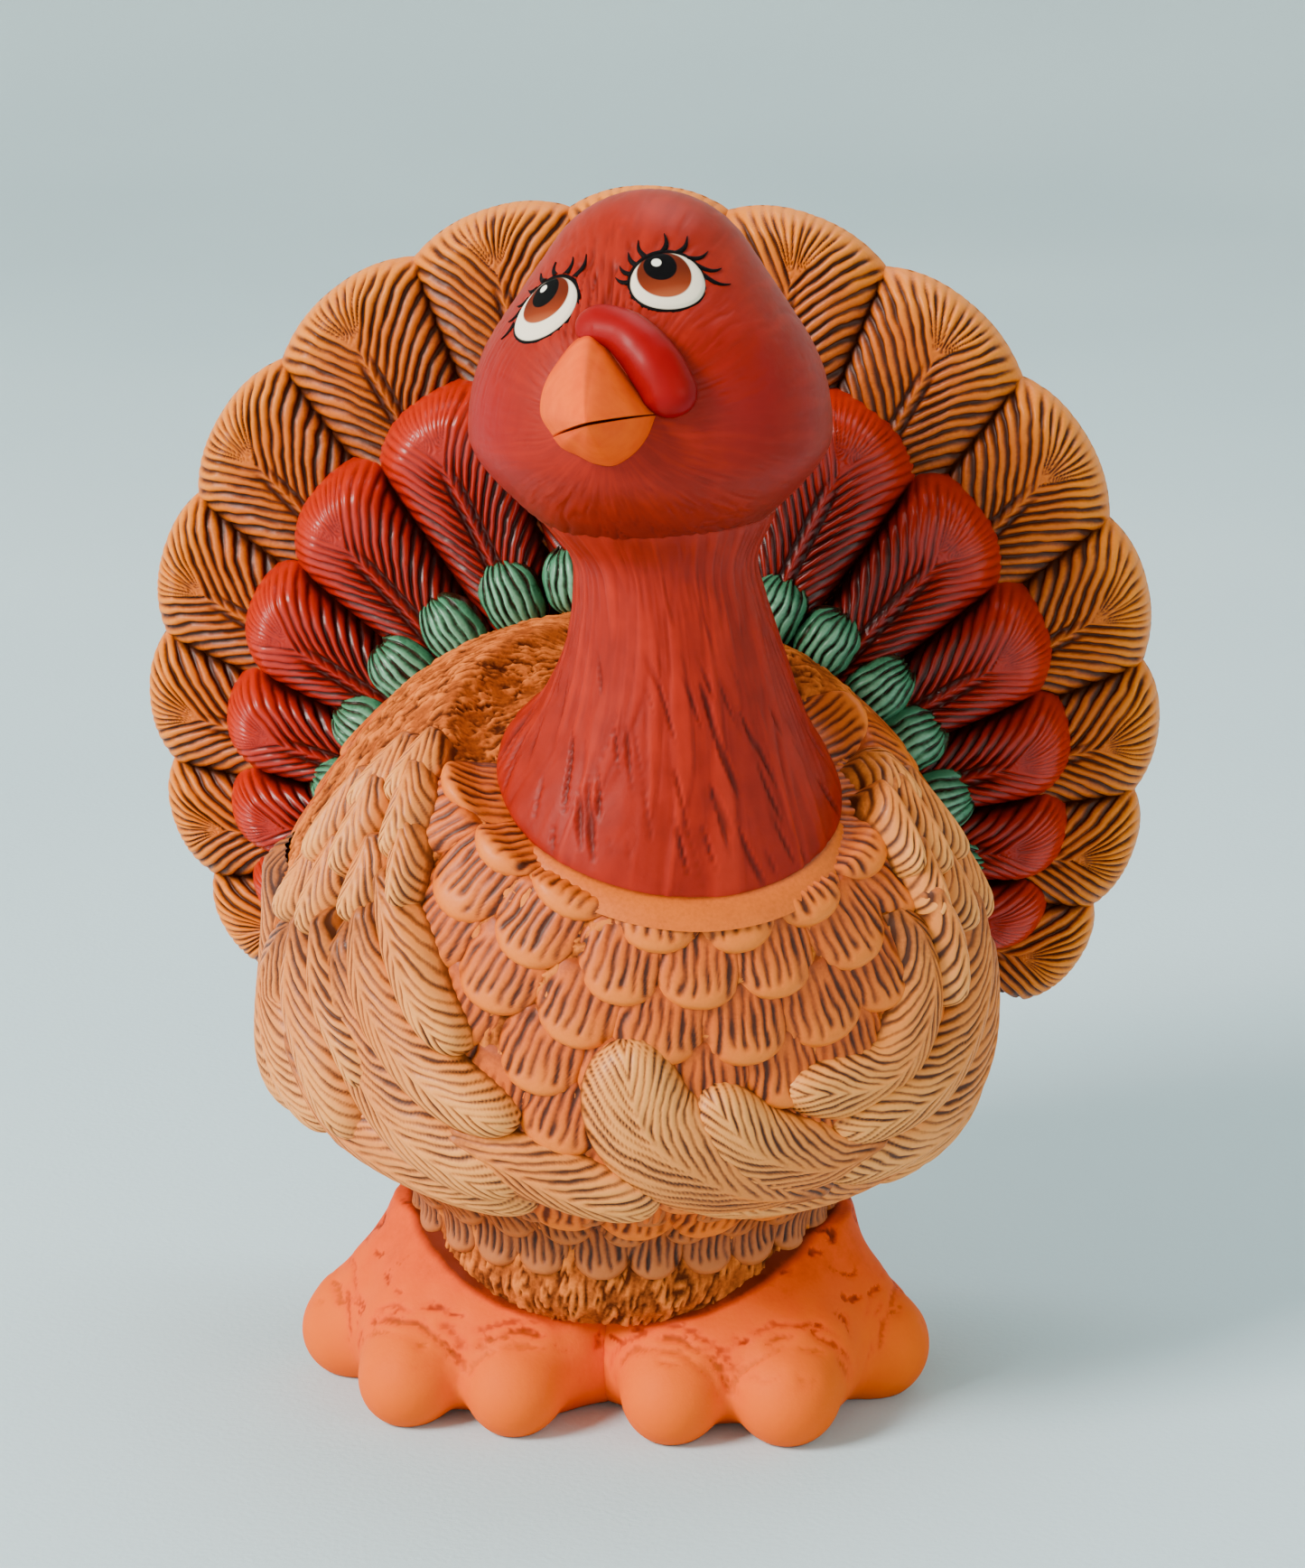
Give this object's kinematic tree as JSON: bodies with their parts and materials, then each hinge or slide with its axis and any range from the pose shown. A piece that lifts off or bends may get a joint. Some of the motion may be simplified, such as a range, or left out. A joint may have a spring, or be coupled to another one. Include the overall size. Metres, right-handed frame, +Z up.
{
  "type": "ceramic turkey figurine",
  "caption": "Standing painted ceramic turkey with a round feathered body, folded wings, a spread tail fan, a raised head and two broad feet.",
  "frame": {"origin": "on the table surface, under the middle of the bird's overall width and depth", "axes": "+Z up, -Y the way the bird faces, +X to the bird's left"},
  "size_m": [0.2378, 0.1724, 0.276],
  "materials": {
    "gold_feather": "dry-brushed gold over dark brown stain, satin sealer",
    "red_feather": "dry-brushed orange red over dark brown stain, glossy sealer",
    "green_feather": "dry-brushed green over dark brown stain, glossy sealer",
    "head_red": "brick red paint with crimson cheeks, satin sealer",
    "beak_orange": "orange paint, satin sealer",
    "snood_crimson": "crimson paint, gloss sealer",
    "eye_paint": "hand-painted white, brown and black, gloss sealer",
    "foot_orange": "bright orange paint with darker creases, satin sealer",
    "wing_cream": "dry-brushed cream over brown stain, satin sealer",
    "fan_back": "dry-brushed gold over brown stain, satin sealer",
    "body_tan": "dry-brushed tan over brown stain, satin sealer"
  },
  "bodies": {
    "root": {"body_shell": "body_tan", "neck": "head_red", "head": "head_red", "beak_upper": "beak_orange", "beak_lower": "beak_orange", "snood": "snood_crimson", "eye_left": "eye_paint", "eye_right": "eye_paint", "fan_plate": "fan_back", "rump_cover": "body_tan", "green_coverts": "green_feather", "breast_feathers": "body_tan", "mantle_feathers": "body_tan", "skirt_feathers": "body_tan", "rump_feathers": "body_tan", "fan_back_feathers": "fan_back", "wing_coverts_left": "wing_cream", "wing_coverts_right": "wing_cream", "wing_primaries_left": "wing_cream", "wing_primaries_right": "wing_cream", "foot_left": "foot_orange", "foot_right": "foot_orange", "gold_feather_01": "gold_feather", "gold_feather_02": "gold_feather", "gold_feather_03": "gold_feather", "gold_feather_04": "gold_feather", "gold_feather_05": "gold_feather", "gold_feather_06": "gold_feather", "gold_feather_07": "gold_feather", "gold_feather_08": "gold_feather", "gold_feather_09": "gold_feather", "gold_feather_10": "gold_feather", "gold_feather_11": "gold_feather", "gold_feather_12": "gold_feather", "gold_feather_13": "gold_feather", "gold_feather_14": "gold_feather", "gold_feather_15": "gold_feather", "red_feather_01": "red_feather", "red_feather_02": "red_feather", "red_feather_03": "red_feather", "red_feather_04": "red_feather", "red_feather_05": "red_feather", "red_feather_06": "red_feather", "red_feather_07": "red_feather", "red_feather_08": "red_feather", "red_feather_09": "red_feather", "red_feather_10": "red_feather", "red_feather_11": "red_feather", "red_feather_12": "red_feather", "red_feather_13": "red_feather", "red_feather_14": "red_feather"}
  },
  "joints": []
}
